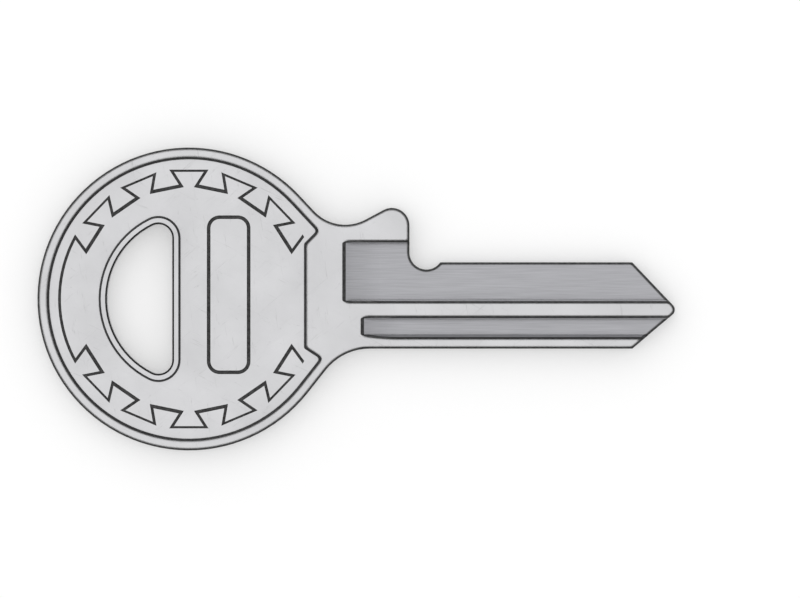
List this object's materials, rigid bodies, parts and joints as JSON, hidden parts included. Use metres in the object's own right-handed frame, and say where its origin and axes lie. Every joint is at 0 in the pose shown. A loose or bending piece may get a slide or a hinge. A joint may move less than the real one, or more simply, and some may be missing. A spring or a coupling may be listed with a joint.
{
  "type": "key blank",
  "caption": "Flat uncut key for a pin tumbler lock: round bow with a D-shaped ring hole and a dovetail border, a shoulder stop, and a grooved blade.",
  "frame": {"origin": "where the plane of the shoulder's stop face, the plane of the blade's spine and the back face meet, which is how a key's profile and cuts are measured", "axes": "+X runs along the blade from the stop to the tip, +Y from the spine to the edge that is cut, +Z from the back face to the front face that carries the open upper groove"},
  "size_m": [0.0526, 0.025, 0.0025],
  "materials": {
    "nickel_plate": "satin"
  },
  "bodies": {
    "root": {"key_blank": "nickel_plate"}
  },
  "joints": []
}
